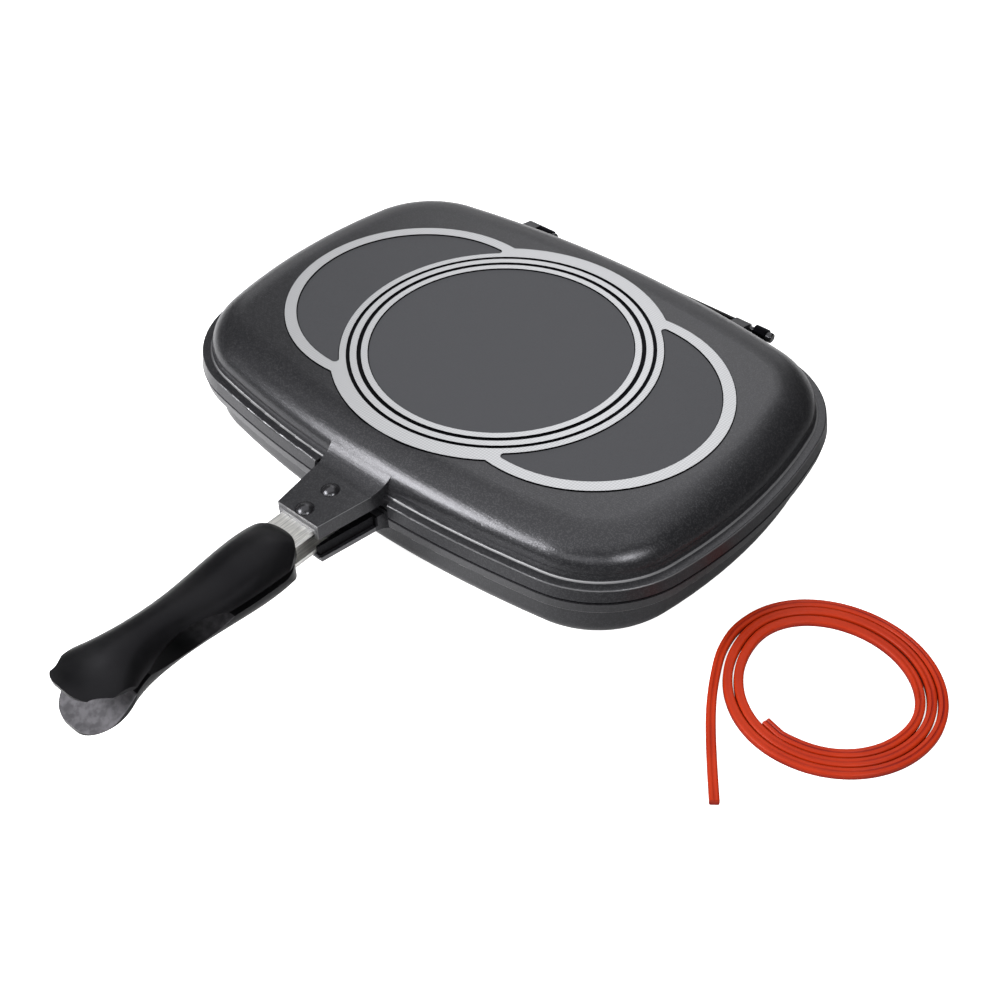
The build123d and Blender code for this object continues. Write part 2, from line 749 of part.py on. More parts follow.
def quarter_biarc(centre, along, across, start_angle):
    """Two arcs of 45 degrees, clockwise, from `along` on one axis to `across` on the next."""
    change = (across - along) / (sqrt(2) - 1)
    radii = ((along + across + change) / 2, (along + across - change) / 2)
    turn = radians(start_angle)
    x = centre[0] + along * cos(turn)
    y = centre[1] + along * sin(turn)
    arcs = []
    for radius, angle in zip(radii, (start_angle, start_angle - 45)):
        heading = radians(angle)
        hub = (x - radius * cos(heading), y - radius * sin(heading))
        arcs.append((hub, radius, angle, -45))
        x = hub[0] + radius * cos(heading - pi / 4)
        y = hub[1] + radius * sin(heading - pi / 4)
    return arcs


def coil_arcs():
    """Arcs of the coil from its outer turn's left side inwards, two to each quarter turn."""
    reach = [distance for turn in coil_reach for distance in turn]
    arcs = []
    for quarter in range(len(reach) - 1):
        start_angle = 180 - 90 * quarter
        arcs += quarter_biarc(coil_centre, reach[quarter], reach[quarter + 1], start_angle)
    hub = (coil_centre[0], coil_centre[1] - reach[-1] + coil_end_radius)
    arcs.append((hub, coil_end_radius, -90, -coil_end_angle))
    return arcs


def route_radii(points):
    """Bend radius at each inner point: 0.45 of the shorter run over the tangent of half the turn."""
    radii = []
    for before, at, after in zip(points, points[1:], points[2:]):
        run_in = Vector(*at) - Vector(*before)
        run_out = Vector(*after) - Vector(*at)
        half_turn = radians(run_in.get_angle(run_out)) / 2
        radii.append(0.45 * min(run_in.length, run_out.length) / tan(half_turn))
    return radii


def least_gap(points, skip):
    """Least distance between stretches of a route that lie more than `skip` points apart."""
    return min(
        hypot(a[0] - b[0], a[1] - b[1]) for i, a in enumerate(points) for b in points[i + skip :]
    )


def make_seal_strip():
    """The strip laid flat: the coil in one unbroken sweep, then the free tail."""
    start = (coil_centre[0] - coil_reach[0][0], coil_centre[1] - strip_width)
    with BuildLine(Plane.XY.offset(strip_height / 2)) as coil_path:
        Line(start, (start[0], coil_centre[1]))
        for hub, radius, angle, sweep_angle in coil_arcs():
            CenterArc(hub, radius, angle, sweep_angle)
        last_arc = coil_path.edges()[-1]
        Line(last_arc @ 1, (last_arc @ 1) + (last_arc % 1) * strip_width)
    coil_wire = coil_path.wires()[0]
    with BuildPart() as coil:
        sweep(strip_section(start, Vector(0, 1, 0)), path=coil_wire)
    tail_points = [*tail_route, start]
    radii = route_radii(tail_points)
    with BuildLine(Plane.XY.offset(strip_height / 2)) as tail_path:
        FilletPolyline(*tail_points, radius=radii)
    tail_wire = tail_path.wires()[0]
    first_run = Vector(*tail_points[1]) - Vector(*tail_points[0])
    with BuildPart() as tail:
        sweep(strip_section(tail_points[0], first_run), path=tail_wire)
    return coil.part, tail.part, coil_wire, tail_wire, radii


# ---- Build ---------------------------------------------------------------------------------------------

os.makedirs("parts", exist_ok=True)

export_piece(make_upper_pan(), "upper_pan")
export_piece(make_lower_pan(), "lower_pan")
export_piece(make_drip_tray(), "drip_tray")
for side, ears in hinges.items():
    export_piece(make_hinge_pin(ears), f"hinge_pin_{side}")

export_piece(make_grip("upper"), "upper_grip")
export_piece(mirrored(make_grip("lower")), "lower_grip")
upper_pieces = {"tang": make_tang(), "grip_screw": make_grip_screw()}
for place, y in rivet_ys.items():
    upper_pieces[f"{place}_rivet"] = make_rivet(y)
for place, y in magnet_ys.items():
    upper_pieces[f"{place}_magnet"] = make_magnet(y)
for name, piece in upper_pieces.items():
    export_piece(piece, f"upper_{name}")
    export_piece(mirrored(piece), f"lower_{name}")

coil, tail, coil_wire, tail_wire, tail_radii = make_seal_strip()
export_piece(coil, "seal_strip_coil")
export_piece(tail, "seal_strip_tail")
section_area = strip_width * strip_height - strip_groove_width * strip_groove_depth
samples = round(coil_wire.length)
coil_points = [tuple(coil_wire @ (n / samples))[:2] for n in range(samples + 1)]
half_turn = round(pi * min(coil_reach[-1]))
print("coil length", round(coil_wire.length, 1), "tail length", round(tail_wire.length, 1))
print("coil volume over section times length", round(coil.volume / section_area / coil_wire.length, 4))
print("tail volume over section times length", round(tail.volume / section_area / tail_wire.length, 4))
print("tail radii", [round(radius, 1) for radius in tail_radii])
print("least gap between turns", round(least_gap(coil_points, half_turn) - strip_width, 2))
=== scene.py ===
"""Looks of a double sided flip pan: coat, machined rings, grips, steel, seal strip and stage."""

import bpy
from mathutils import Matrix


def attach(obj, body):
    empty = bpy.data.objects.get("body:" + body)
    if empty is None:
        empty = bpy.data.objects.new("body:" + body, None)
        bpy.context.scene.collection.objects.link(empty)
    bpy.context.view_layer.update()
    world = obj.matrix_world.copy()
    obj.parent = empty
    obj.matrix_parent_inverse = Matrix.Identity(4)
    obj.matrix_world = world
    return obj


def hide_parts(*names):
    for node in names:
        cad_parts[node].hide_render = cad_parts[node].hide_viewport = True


bl_info = {
    "name": "Double sided flip pan",
    "version": (1, 0, 0),
    "blender": (4, 5, 0),
    "location": "View3D > Sidebar > Flip pan",
    "description": "Dresses a double sided flip pan and sets its stage",
    "category": "Object",
}

import math

import bpy
import numpy as np
from mathutils import Euler, Vector

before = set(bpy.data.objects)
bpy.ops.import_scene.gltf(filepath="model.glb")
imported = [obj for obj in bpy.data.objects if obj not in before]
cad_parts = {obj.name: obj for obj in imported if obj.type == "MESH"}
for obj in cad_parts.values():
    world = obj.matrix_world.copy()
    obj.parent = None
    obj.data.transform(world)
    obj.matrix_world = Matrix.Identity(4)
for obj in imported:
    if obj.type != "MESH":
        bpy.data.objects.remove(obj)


# ---- Places on the CAD's pieces, in metres ---------------------------------------------------

MM = 0.001
PARTING_Z = 0.0365
PAN_MIDDLE_Z = 0.03065  # halfway between the rings of the two pans
RING_FACE = PAN_MIDDLE_Z - 0.05 * MM  # the rings' faces lie further than this from the middle
FLOOR_FACE = PAN_MIDDLE_Z - 1.0 * MM  # and the floors beside them further than this

# Machined rings, as inner and outer radius.
DISC_RADIUS = 68.1 * MM  # of the floor inside the inner ring
OUTER_RING = (79.1 * MM, 87.2 * MM)
OUTER_RING_WAIST = 82.5 * MM  # outer radius where a crescent's floor cuts into the ring
CRESCENT_RING = (64.4 * MM, 70.5 * MM)
CRESCENT_OFFSET = 58.4 * MM  # centre of a crescent's circle from the middle
RING_OVERLAP = 0.1 * MM  # a line beside a ring starts this far under the ring

# Levels on the rims and walls, measured up or down from the parting plane.
# Painted shade lies beside the rims' gap, between the first two of these levels.
GAP_EDGES = (0.2 * MM, 0.75 * MM)
# Highlights are painted on the flange's edge and low in the wall's foot.
FLANGE_EDGE = (6.6 * MM, 7.1 * MM)
WALL_FOOT = (7.22 * MM, 8.7 * MM)
FOOT_LINE_TOP = 7.75 * MM
FOOT_LINE_LEFT = (-130.0 * MM, -90.0 * MM)  # along X: its painted highlight grows between these

# The lug, and the flange's notch behind it: levels, and how far back along Y each part reaches.
NOTCH_HALF_WIDTH = 24.0 * MM
NOTCH_END_Y = -104.0 * MM
# Painted light goes on the upper lug's front and edge, and on the lower lug's plate.
LUG_FRONT_Y = -143.0 * MM
LUG_EDGE = (47.5 * MM, 48.1 * MM)
LUG_EDGE_END_Y = -113.0 * MM
LUG_PLATE = (25.05 * MM, 27.55 * MM)
LUG_PLATE_END_Y = -112.5 * MM
# Painted shade lies in the lower lug's recess.
LUG_RECESS = (27.65 * MM, 33.6 * MM)
LUG_RECESS_END_Y = -111.0 * MM
RIVET_YS = (-0.1384, -0.1220)
RIVET_HEAD_RADIUS = 0.0043
RIVET_SHADE_WIDTH = 0.8 * MM

# Lower hinge ears, which get painted shade: they lie behind this along Y, in these two spans along
# X.
EARS_START_Y = 116.0 * MM
LOWER_EARS = ((-77.0 * MM, -67.0 * MM), (75.0 * MM, 83.5 * MM))

# Cuts in the lower grip, arcs in side view: middle (y, z), and the radii that hold the face.
# Painted light makes the faces of these cuts pale.
TAIL_CUT = ((-291.67 * MM, 82.01 * MM), (59.5 * MM, 60.5 * MM))
TAIL_CUT_START_Y = -253.0 * MM
SCALLOP = ((-220.75 * MM, 76.7 * MM), (46.5 * MM, 47.5 * MM))
SCALLOP_RAMP = (-222.0 * MM, -204.0 * MM)  # along Y: the painted light on the face grows between these


# ---- Settings that a user would change -------------------------------------------------------


def length(name, description, default):
    """A float property in metres."""
    return bpy.props.FloatProperty(
        name=name, description=description, default=default, min=0.0, unit="LENGTH", precision=5
    )


def colour(name, description, default):
    """A linear colour property with alpha."""
    return bpy.props.FloatVectorProperty(
        name=name,
        description=description,
        default=(*default, 1.0),
        subtype="COLOR",
        size=4,
        min=0.0,
        max=1.0,
    )


def factor(name, description, default):
    """A share from 0 to 1."""
    return bpy.props.FloatProperty(
        name=name, description=description, default=default, min=0.0, max=1.0, subtype="FACTOR"
    )


class CoatSettings(bpy.types.PropertyGroup):
    """Non-stick coat of both pans and the machined rings on their floors."""

    dark: colour("Coat", "Colour of the coat between its flakes", (0.010, 0.0102, 0.0115))
    cloud: colour("Clouds", "Colour towards which the coat's clouds lean", (0.014, 0.014, 0.016))
    floor: colour("Floor", "Colour of the flat floor inside the rings", (0.036, 0.037, 0.041))
    gloss: colour("Gloss", "Tint of the highlights", (0.95, 0.945, 1.0))
    roughness: factor("Roughness", "Roughness of the coat", 0.3)
    matte_roughness: factor("Matte roughness", "Roughness added in dark and matte places", 0.25)
    grain: factor("Grain", "Strength of the grain and the dots", 0.15)
    flake: colour("Flakes", "Colour of the metallic flakes in the coat", (0.085, 0.085, 0.09))
    flake_size: length("Flake size", "Mean distance between flakes", 0.00045)
    flake_share: factor("Flake share", "Share of the surface that flakes take", 0.3)
    flake_tilt: factor("Flake tilt", "How far the flakes lean out of the surface", 0.05)
    flake_strength: factor("Flake strength", "How much of a flake shows through the coat", 0.5)
    # This colour also paints the shade beside the rims' gap, in the lug's recess, on the lower ears
    # and round the rivets.
    line: colour("Outline", "Colour of the cut beside each machined ring and of the painted shade", (0.004, 0.004, 0.005))
    line_width: length("Outline width", "Width of the cut beside each machined ring", 0.0005)
    # Painted highlights on the edges, and painted light on the lower lug's plate.
    painted_light: colour("Painted highlights", "Colour of the light painted on the coat's edges and lugs", (0.40, 0.40, 0.41))
    metal: colour("Machined metal", "Colour of the machined rings", (0.52, 0.525, 0.54))
    dots: colour("Dots", "Colour of the dots rolled into the rings", (0.33, 0.335, 0.345))
    dot_pitch: length("Dot pitch", "Spacing of the dots rolled into the rings", 0.0027)
    ring_metal: factor("Ring metal", "How metallic the rings are", 0.6)
    ring_roughness: factor("Ring roughness", "Roughness added on the rings", 0.1)


class StripSettings(bpy.types.PropertyGroup):
    """Seal strip: its section and its colours."""

    width: length("Width", "Width of the strip", 0.0044)
    height: length("Height", "Height of the strip", 0.0036)
    round: length("Round", "Radius of the strip's corners", 0.0008)
    groove_width: length("Groove width", "Width of the groove along the top", 0.0010)
    groove_depth: length("Groove depth", "Depth of the groove along the top", 0.0003)
    silicone: colour("Silicone", "Colour of the strip", (0.35, 0.02, 0.002))
    cloud: colour("Clouds", "Colour towards which the strip's clouds lean", (0.50, 0.035, 0.004))
    shade: colour("Shade", "Colour in the groove and low on the sides", (0.15, 0.002, 0.001))
    gloss: factor("Gloss", "Strength of the strip's highlights", 0.18)
    roughness: factor("Roughness", "Roughness of the strip", 0.34)
    grain: factor("Grain", "Strength of the strip's grain", 0.1)


class HandleSettings(bpy.types.PropertyGroup):
    """Grips, tangs, rivets and hinge pieces."""

    grip: colour("Grip", "Colour of the grips", (0.0045, 0.0045, 0.005))
    grip_cloud: colour("Grip clouds", "Colour of the grips' paler clouds", (0.007, 0.007, 0.0075))
    # Painted light: the cut faces are paler where they catch the light.
    cut: colour("Lit cut", "Colour painted on the lower grip's cut faces as light", (0.105, 0.102, 0.11))
    grip_tint: colour("Grip tint", "Tint of the grips' highlights", (0.92, 0.9, 1.0))
    grip_gloss: factor("Grip gloss", "Strength of the grips' highlights", 0.115)
    grip_roughness: factor("Grip roughness", "Roughness of the grips", 0.3)
    grip_grain: factor("Grip grain", "Strength of the grips' grain", 0.08)
    steel: colour("Steel", "Colour of the tangs", (0.80, 0.79, 0.76))
    steel_lines: colour("Steel lines", "Colour of the darker brushed lines", (0.5, 0.5, 0.49))
    steel_metal: factor("Steel metal", "How metallic the tangs are", 0.9)
    steel_roughness: factor("Steel roughness", "Roughness of the tangs", 0.25)
    steel_grain: factor("Steel grain", "Strength of the brushed lines", 0.15)
    dark_steel: colour("Dark steel", "Colour of the rivets and pins", (0.05, 0.05, 0.054))
    dark_steel_cloud: colour("Dark steel clouds", "Colour of their clouds", (0.05, 0.05, 0.055))
    dark_steel_metal: factor("Dark steel metal", "How metallic the rivets and pins are", 0.8)
    dark_steel_roughness: factor("Dark steel roughness", "Roughness of rivets and pins", 0.24)
    dark_steel_grain: factor("Dark steel grain", "Strength of their grain", 0.05)


class StageSettings(bpy.types.PropertyGroup):
    """Camera, floor and ambient light."""

    lens: bpy.props.FloatProperty(
        name="Lens", description="Focal length", default=51.618, subtype="DISTANCE_CAMERA"
    )
    eye: bpy.props.FloatVectorProperty(
        name="Eye",
        description="Place of the camera",
        default=(0.39261, -0.43084, 0.50862),
        subtype="XYZ",
        unit="LENGTH",
    )
    turn: bpy.props.FloatVectorProperty(
        name="Turn",
        description="Rotation of the camera",
        default=(math.radians(46.3058), math.radians(1.27447), math.radians(41.3988)),
        subtype="EULER",
    )
    ambient: factor("Ambient", "Strength of the light all round", 0.05)
    floor: colour("Floor", "Colour of the floor", (0.86, 0.86, 0.86))
    # Painted shade: the pan's right walls mirror this darker floor.
    dim_floor: colour("Dim floor", "Its colour in mirror images at the right", (0.2, 0.2, 0.2))
    floor_glow: factor("Floor glow", "Strength of the floor's light in mirror images", 0.2)


SETTINGS = {
    "flip_pan_coat": CoatSettings,
    "flip_pan_strip": StripSettings,
    "flip_pan_handle": HandleSettings,
    "flip_pan_stage": StageSettings,
}


# ---- Shader arithmetic -----------------------------------------------------------------------


class Val:
    """A shader value: arithmetic on it adds Math nodes to its tree."""

    def __init__(self, tree, socket):
        self.tree = tree
        self.socket = socket

    def math(self, operation, other=0.0):
        """One Math node on this value and a second one."""
        node = self.tree.nodes.new("ShaderNodeMath")
        node.operation = operation
        put(self.tree, node.inputs[0], self)
        put(self.tree, node.inputs[1], other)
        return Val(self.tree, node.outputs[0])

    def __add__(self, other):
        return self.math("ADD", other)

    def __sub__(self, other):
        return self.math("SUBTRACT", other)

    def __mul__(self, other):
        return self.math("MULTIPLY", other)

    def __gt__(self, other):
        return self.math("GREATER_THAN", other)

    def __lt__(self, other):
        return self.math("LESS_THAN", other)

    def complement(self):
        """1 less the value."""
        return self * -1.0 + 1.0

    def between(self, low, high):
        """1 where the value lies between two limits, else 0."""
        return (self > low) * (self < high)

    def smooth(self, low, high, start=0.0, end=1.0):
        """Smooth step: start at low and under, end at high and over."""
        node = self.tree.nodes.new("ShaderNodeMapRange")
        node.interpolation_type = "SMOOTHSTEP"
        values = {"Value": self, "From Min": low, "From Max": high, "To Min": start, "To Max": end}
        for name, value in values.items():
            put(self.tree, node.inputs[name], value)
        return Val(self.tree, node.outputs[0])


def put(tree, socket, value):
    """Links a shader value or socket into a socket, or sets a plain number or colour."""
    if isinstance(value, Val):
        value = value.socket
    if isinstance(value, bpy.types.NodeSocket):
        tree.links.new(value, socket)
    else:
        socket.default_value = value


def add_node(tree, kind, output=0, settings=None, **inputs):
    """Adds a node, sets it up, feeds its inputs by name and returns one output as a Val."""
    node = tree.nodes.new(kind)
    for name, value in (settings or {}).items():
        setattr(node, name, value)
    for name, value in inputs.items():
        put(tree, node.inputs[name], value)
    return Val(tree, node.outputs[output])


def vector_math(tree, operation, first, second=None, scale=None):
    """One Vector Math node."""
    node = tree.nodes.new("ShaderNodeVectorMath")
    node.operation = operation
    put(tree, node.inputs[0], first)
    if second is not None:
        put(tree, node.inputs[1], second)
    if scale is not None:
        put(tree, node.inputs["Scale"], scale)
    return Val(tree, node.outputs[0])


MIX_SHARE, MIX_FIRST, MIX_SECOND, MIX_RESULT = 0, 6, 7, 2  # a Mix node's sockets for colours


def mix(tree, share, first, second):
    """Colour between first and second."""
    node = tree.nodes.new("ShaderNodeMix")
    node.data_type = "RGBA"
    put(tree, node.inputs[MIX_SHARE], share)
    put(tree, node.inputs[MIX_FIRST], first)
    put(tree, node.inputs[MIX_SECOND], second)
    return Val(tree, node.outputs[MIX_RESULT])


def noise(tree, vector, scale, detail=2.0):
    """Noise texture of a given number of waves to the metre."""
    node = tree.nodes.new("ShaderNodeTexNoise")
    put(tree, node.inputs["Vector"], vector)
    node.inputs["Scale"].default_value = scale
    node.inputs["Detail"].default_value = detail
    return Val(tree, node.outputs["Fac"])


BUMP_DISTANCE = 0.0001  # height in metres that a bump's full value stands for


def bump(tree, height, strength, normal=None):
    """Normal bent by a height from 0 to 1."""
    node = tree.nodes.new("ShaderNodeBump")
    node.inputs["Strength"].default_value = strength
    node.inputs["Distance"].default_value = BUMP_DISTANCE
    put(tree, node.inputs["Height"], height)
    if normal is not None:
        put(tree, node.inputs["Normal"], normal)
    return Val(tree, node.outputs[0])


def place_parts(tree, vector):
    """X, Y and Z of a place."""
    node = tree.nodes.new("ShaderNodeSeparateXYZ")
    put(tree, node.inputs[0], vector)
    return [Val(tree, output) for output in node.outputs]


def object_place(tree):
    """Place on the object, in metres."""
    return Val(tree, tree.nodes.new("ShaderNodeTexCoord").outputs["Object"])


def distance(first, second):
    """Length of two legs at right angles: the root of the sum of their squares."""
    return (first * first + second * second).math("SQRT")


# ---- Node groups: effects that materials share -----------------------------------------------


def new_group(name, inputs, outputs):
    """Empty shader node group with named sockets, its input values and its output node."""
    group = bpy.data.node_groups.new(name, "ShaderNodeTree")
    for socket, kind in inputs.items():
        group.interface.new_socket(socket, in_out="INPUT", socket_type=f"NodeSocket{kind}")
    for socket, kind in outputs.items():
        group.interface.new_socket(socket, in_out="OUTPUT", socket_type=f"NodeSocket{kind}")
    entry = group.nodes.new("NodeGroupInput")
    values = {name: Val(group, entry.outputs[name]) for name in inputs}
    return group, values, group.nodes.new("NodeGroupOutput")


def use_group(tree, name, **inputs):
    """Places a node group in a tree and returns its outputs by name."""
    node = tree.nodes.new("ShaderNodeGroup")
    node.node_tree = bpy.data.node_groups[name]
    for socket, value in inputs.items():
        put(tree, node.inputs[socket], value)
    return {output.name: Val(tree, output) for output in node.outputs}


def make_flakes_group():
    """Flakes: a share of the cells of a Voronoi pattern, each of them leaning its own way.

    A flake's normal is the surface's normal plus the cell's random colour less one half,
    times twice the tilt, made one long; between the flakes it is the surface's own."""
    group, given, out = new_group(
        "metal flakes",
        {"Place": "Vector", "Size": "Float", "Share": "Float", "Tilt": "Float"},
        {"Flake": "Float", "Normal": "Vector"},
    )
    scaled = vector_math(group, "SCALE", given["Place"], scale=given["Size"].math("POWER", -1.0))
    cells = add_node(group, "ShaderNodeTexVoronoi", 1, Vector=scaled, Scale=1.0)
    chosen = place_parts(group, cells)[0] < given["Share"]
    other_cells = add_node(group, "ShaderNodeTexWhiteNoise", 1, Vector=cells)
    lean = vector_math(group, "SUBTRACT", other_cells, (0.5, 0.5, 0.5))
    lean = vector_math(group, "SCALE", lean, scale=chosen * given["Tilt"] * 2.0)
    normal = Val(group, group.nodes.new("ShaderNodeNewGeometry").outputs["Normal"])
    leaning = vector_math(group, "ADD", normal, lean)
    put(group, out.inputs["Flake"], chosen)
    put(group, out.inputs["Normal"], vector_math(group, "NORMALIZE", leaning))


DOT_EDGES = (-0.6, 0.6)  # values of the waves' product between which a dot rises


def make_machined_group():
    """Machined dots: the product of two sine waves at right angles, turned by 45 degrees."""
    group, given, out = new_group(
        "machined dots", {"Place": "Vector", "Pitch": "Float"}, {"Dots": "Float"}
    )
    x, y, _ = place_parts(group, given["Place"])
    rate = given["Pitch"].math("POWER", -1.0) * (2 * math.pi)
    first = ((x + y) * rate).math("SINE")
    second = ((x - y) * rate).math("SINE")
    put(group, out.inputs["Dots"], (first * second).smooth(*DOT_EDGES))


CRESCENT_FLOOR_SHARE = 0.85  # how much of the floor's look the crescents' floors take


def make_ring_lines_group():
    """Lines beside the rings, from the distance to the middle and to the crescents' centres.

    Line covers the floor between the plain rings, and a line's width beside the outer ring
    and the crescents. Floor is the floor of the disc and of the crescents. Wide is the outer
    ring with its crescents."""
    group, given, out = new_group(
        "ring lines",
        {"Place": "Vector", "Width": "Float"},
        {"Line": "Float", "Floor": "Float", "Wide": "Float"},
    )
    x, y, _ = place_parts(group, given["Place"])
    ring = distance(x, y)
    crescent = distance(x.math("ABSOLUTE") - CRESCENT_OFFSET, y)
    wide = given["Width"]
    inwards = wide * -1.0
    outer_start, outer_end = OUTER_RING
    pocket_end, crescent_end = CRESCENT_RING
    off_crescent = crescent > crescent_end - RING_OVERLAP
    off_outer = ring > outer_end - RING_OVERLAP
    off_waist = ring > OUTER_RING_WAIST - RING_OVERLAP
    lines = (
        ring.between(outer_end - RING_OVERLAP, wide + outer_end) * off_crescent,
        crescent.between(inwards + pocket_end, pocket_end + RING_OVERLAP) * off_waist,
        crescent.between(crescent_end - RING_OVERLAP, wide + crescent_end) * off_outer,
        ring.between(OUTER_RING_WAIST - RING_OVERLAP, wide + OUTER_RING_WAIST)
        * (crescent < pocket_end + RING_OVERLAP),
    )
    line = ring.between(inwards + DISC_RADIUS, outer_start + RING_OVERLAP)
    for part in lines:
        line = line.math("MAXIMUM", part)
    disc = ring < DISC_RADIUS
    pocket = (crescent < pocket_end) * (ring > OUTER_RING_WAIST)
    put(group, out.inputs["Line"], line)
    put(group, out.inputs["Floor"], disc.math("MAXIMUM", pocket * CRESCENT_FLOOR_SHARE))
    put(group, out.inputs["Wide"], ring > outer_start - RING_OVERLAP)


# Strength of the painted shade in the lower lug's recess and round a rivet's head.
RECESS_SHADE = 0.8
RIVET_SHADE = 0.85  # at the rivet's head, fading to none over the shade's width


def make_painted_shade_group():
    """Painted shade, black and without a shine: beside the rims' gap, in the lower lug's sides,
    on the lower ears and round each rivet's head."""
    group, given, out = new_group("painted shade", {"Place": "Vector"}, {"Dark": "Float"})
    x, y, z = place_parts(group, given["Place"])
    gap = (z - PARTING_Z).math("ABSOLUTE").between(*GAP_EDGES)
    recess = z.between(*LUG_RECESS) * (y < LUG_RECESS_END_Y)
    ears = (y > EARS_START_Y) * (x.between(*LOWER_EARS[0]) + x.between(*LOWER_EARS[1]))
    dark = gap.math("MAXIMUM", (recess * RECESS_SHADE).math("MAXIMUM", ears))
    shade_end = RIVET_HEAD_RADIUS + RIVET_SHADE_WIDTH
    for rivet_y in RIVET_YS:
        ring = distance(x, y - rivet_y).smooth(RIVET_HEAD_RADIUS, shade_end, RIVET_SHADE, 0.0)
        dark = dark.math("MAXIMUM", ring)
    put(group, out.inputs["Dark"], dark)


FAINT = 0.3  # what is left of the foot's painted highlight where it fades
FACING_FRONT, FACING_ASIDE = -0.95, -0.2  # the wall's normal along Y, where the painted highlight fades
# Strength of the painted highlights, and of the painted light on the lug's plate.
LIGHT_SHARES = {"flange": 0.2, "lug front": 0.26, "lug plate": 0.2, "lug edge": 0.3}
UPWARD = 0.5  # faces whose normal rises more than this aren't edges


def make_painted_light_group():
    """Painted highlights along the wall's foot, round the flange, on the upper lug's front
    and edges; painted light on the lower lug's plate. Foot is the hollow corner at the wall's foot.

    Only faces that look away from the pan's middle count, so the hollow keeps its coat. The foot's
    painted highlight fades where the wall turns away from the handle, and to the left."""
    group, given, out = new_group(
        "painted light", {"Place": "Vector"}, {"Lit": "Float", "Foot": "Float"}
    )
    x, y, z = place_parts(group, given["Place"])
    facing = Val(group, group.nodes.new("ShaderNodeTexCoord").outputs["Normal"])
    facing_x, facing_y, facing_z = place_parts(group, vector_math(group, "NORMALIZE", facing))
    outward = (facing_x * x + facing_y * y) > 0.0
    off_lug = (x.math("ABSOLUTE") > NOTCH_HALF_WIDTH).math("MAXIMUM", y > NOTCH_END_Y)
    off_gap = (z - PARTING_Z).math("ABSOLUTE")
    foot = off_gap.between(*WALL_FOOT) * outward * off_lug
    foot_line = foot * (off_gap < FOOT_LINE_TOP)
    foot_line = foot_line * facing_y.smooth(FACING_FRONT, FACING_ASIDE, 1.0, FAINT)
    painted_light = foot_line * x.smooth(*FOOT_LINE_LEFT, FAINT, 1.0)
    places = {
        "flange": off_gap.between(*FLANGE_EDGE) * outward * off_lug,
        "lug front": (y < LUG_FRONT_Y) * (z > PARTING_Z),
        "lug plate": z.between(*LUG_PLATE) * (y < LUG_PLATE_END_Y),
        "lug edge": z.between(*LUG_EDGE) * (y < LUG_EDGE_END_Y) * (facing_z < UPWARD),
    }
    for name, place in places.items():
        painted_light = painted_light.math("MAXIMUM", place * LIGHT_SHARES[name])
    put(group, out.inputs["Lit"], painted_light)
    put(group, out.inputs["Foot"], foot)


CLOUD_WAVES = 45.0  # waves to the metre
GRAIN_WAVES = 1900.0


def make_grain_group():
    """Cast or moulded grain: coarse noise as a tint and fine noise as a height."""
    group, given, out = new_group(
        "moulded grain", {"Place": "Vector"}, {"Tint": "Float", "Height": "Float"}
    )
    put(group, out.inputs["Tint"], noise(group, given["Place"], CLOUD_WAVES, 3.0))
    put(group, out.inputs["Height"], noise(group, given["Place"], GRAIN_WAVES))


# ---- Materials -------------------------------------------------------------------------------

WHITE = (1.0, 1.0, 1.0, 1.0)
SOFT_CLOUDS = (0.3, 0.7)  # noise values between which a cloud rises
CLEAR_CLOUDS = (0.35, 0.65)


def new_material(name):
    """Material with a plain Principled surface; returns it, its tree and the shader node."""
    material = bpy.data.materials.new(name)
    material.use_nodes = True
    return material, material.node_tree, material.node_tree.nodes["Principled BSDF"]


COAT_CLOUD_SHARE = 0.3  # how far the coat leans to its clouds' colour
RING_DOTS, WIDE_RING_DOTS = 0.4, 0.2  # strength of the dots, and what the wide ring adds


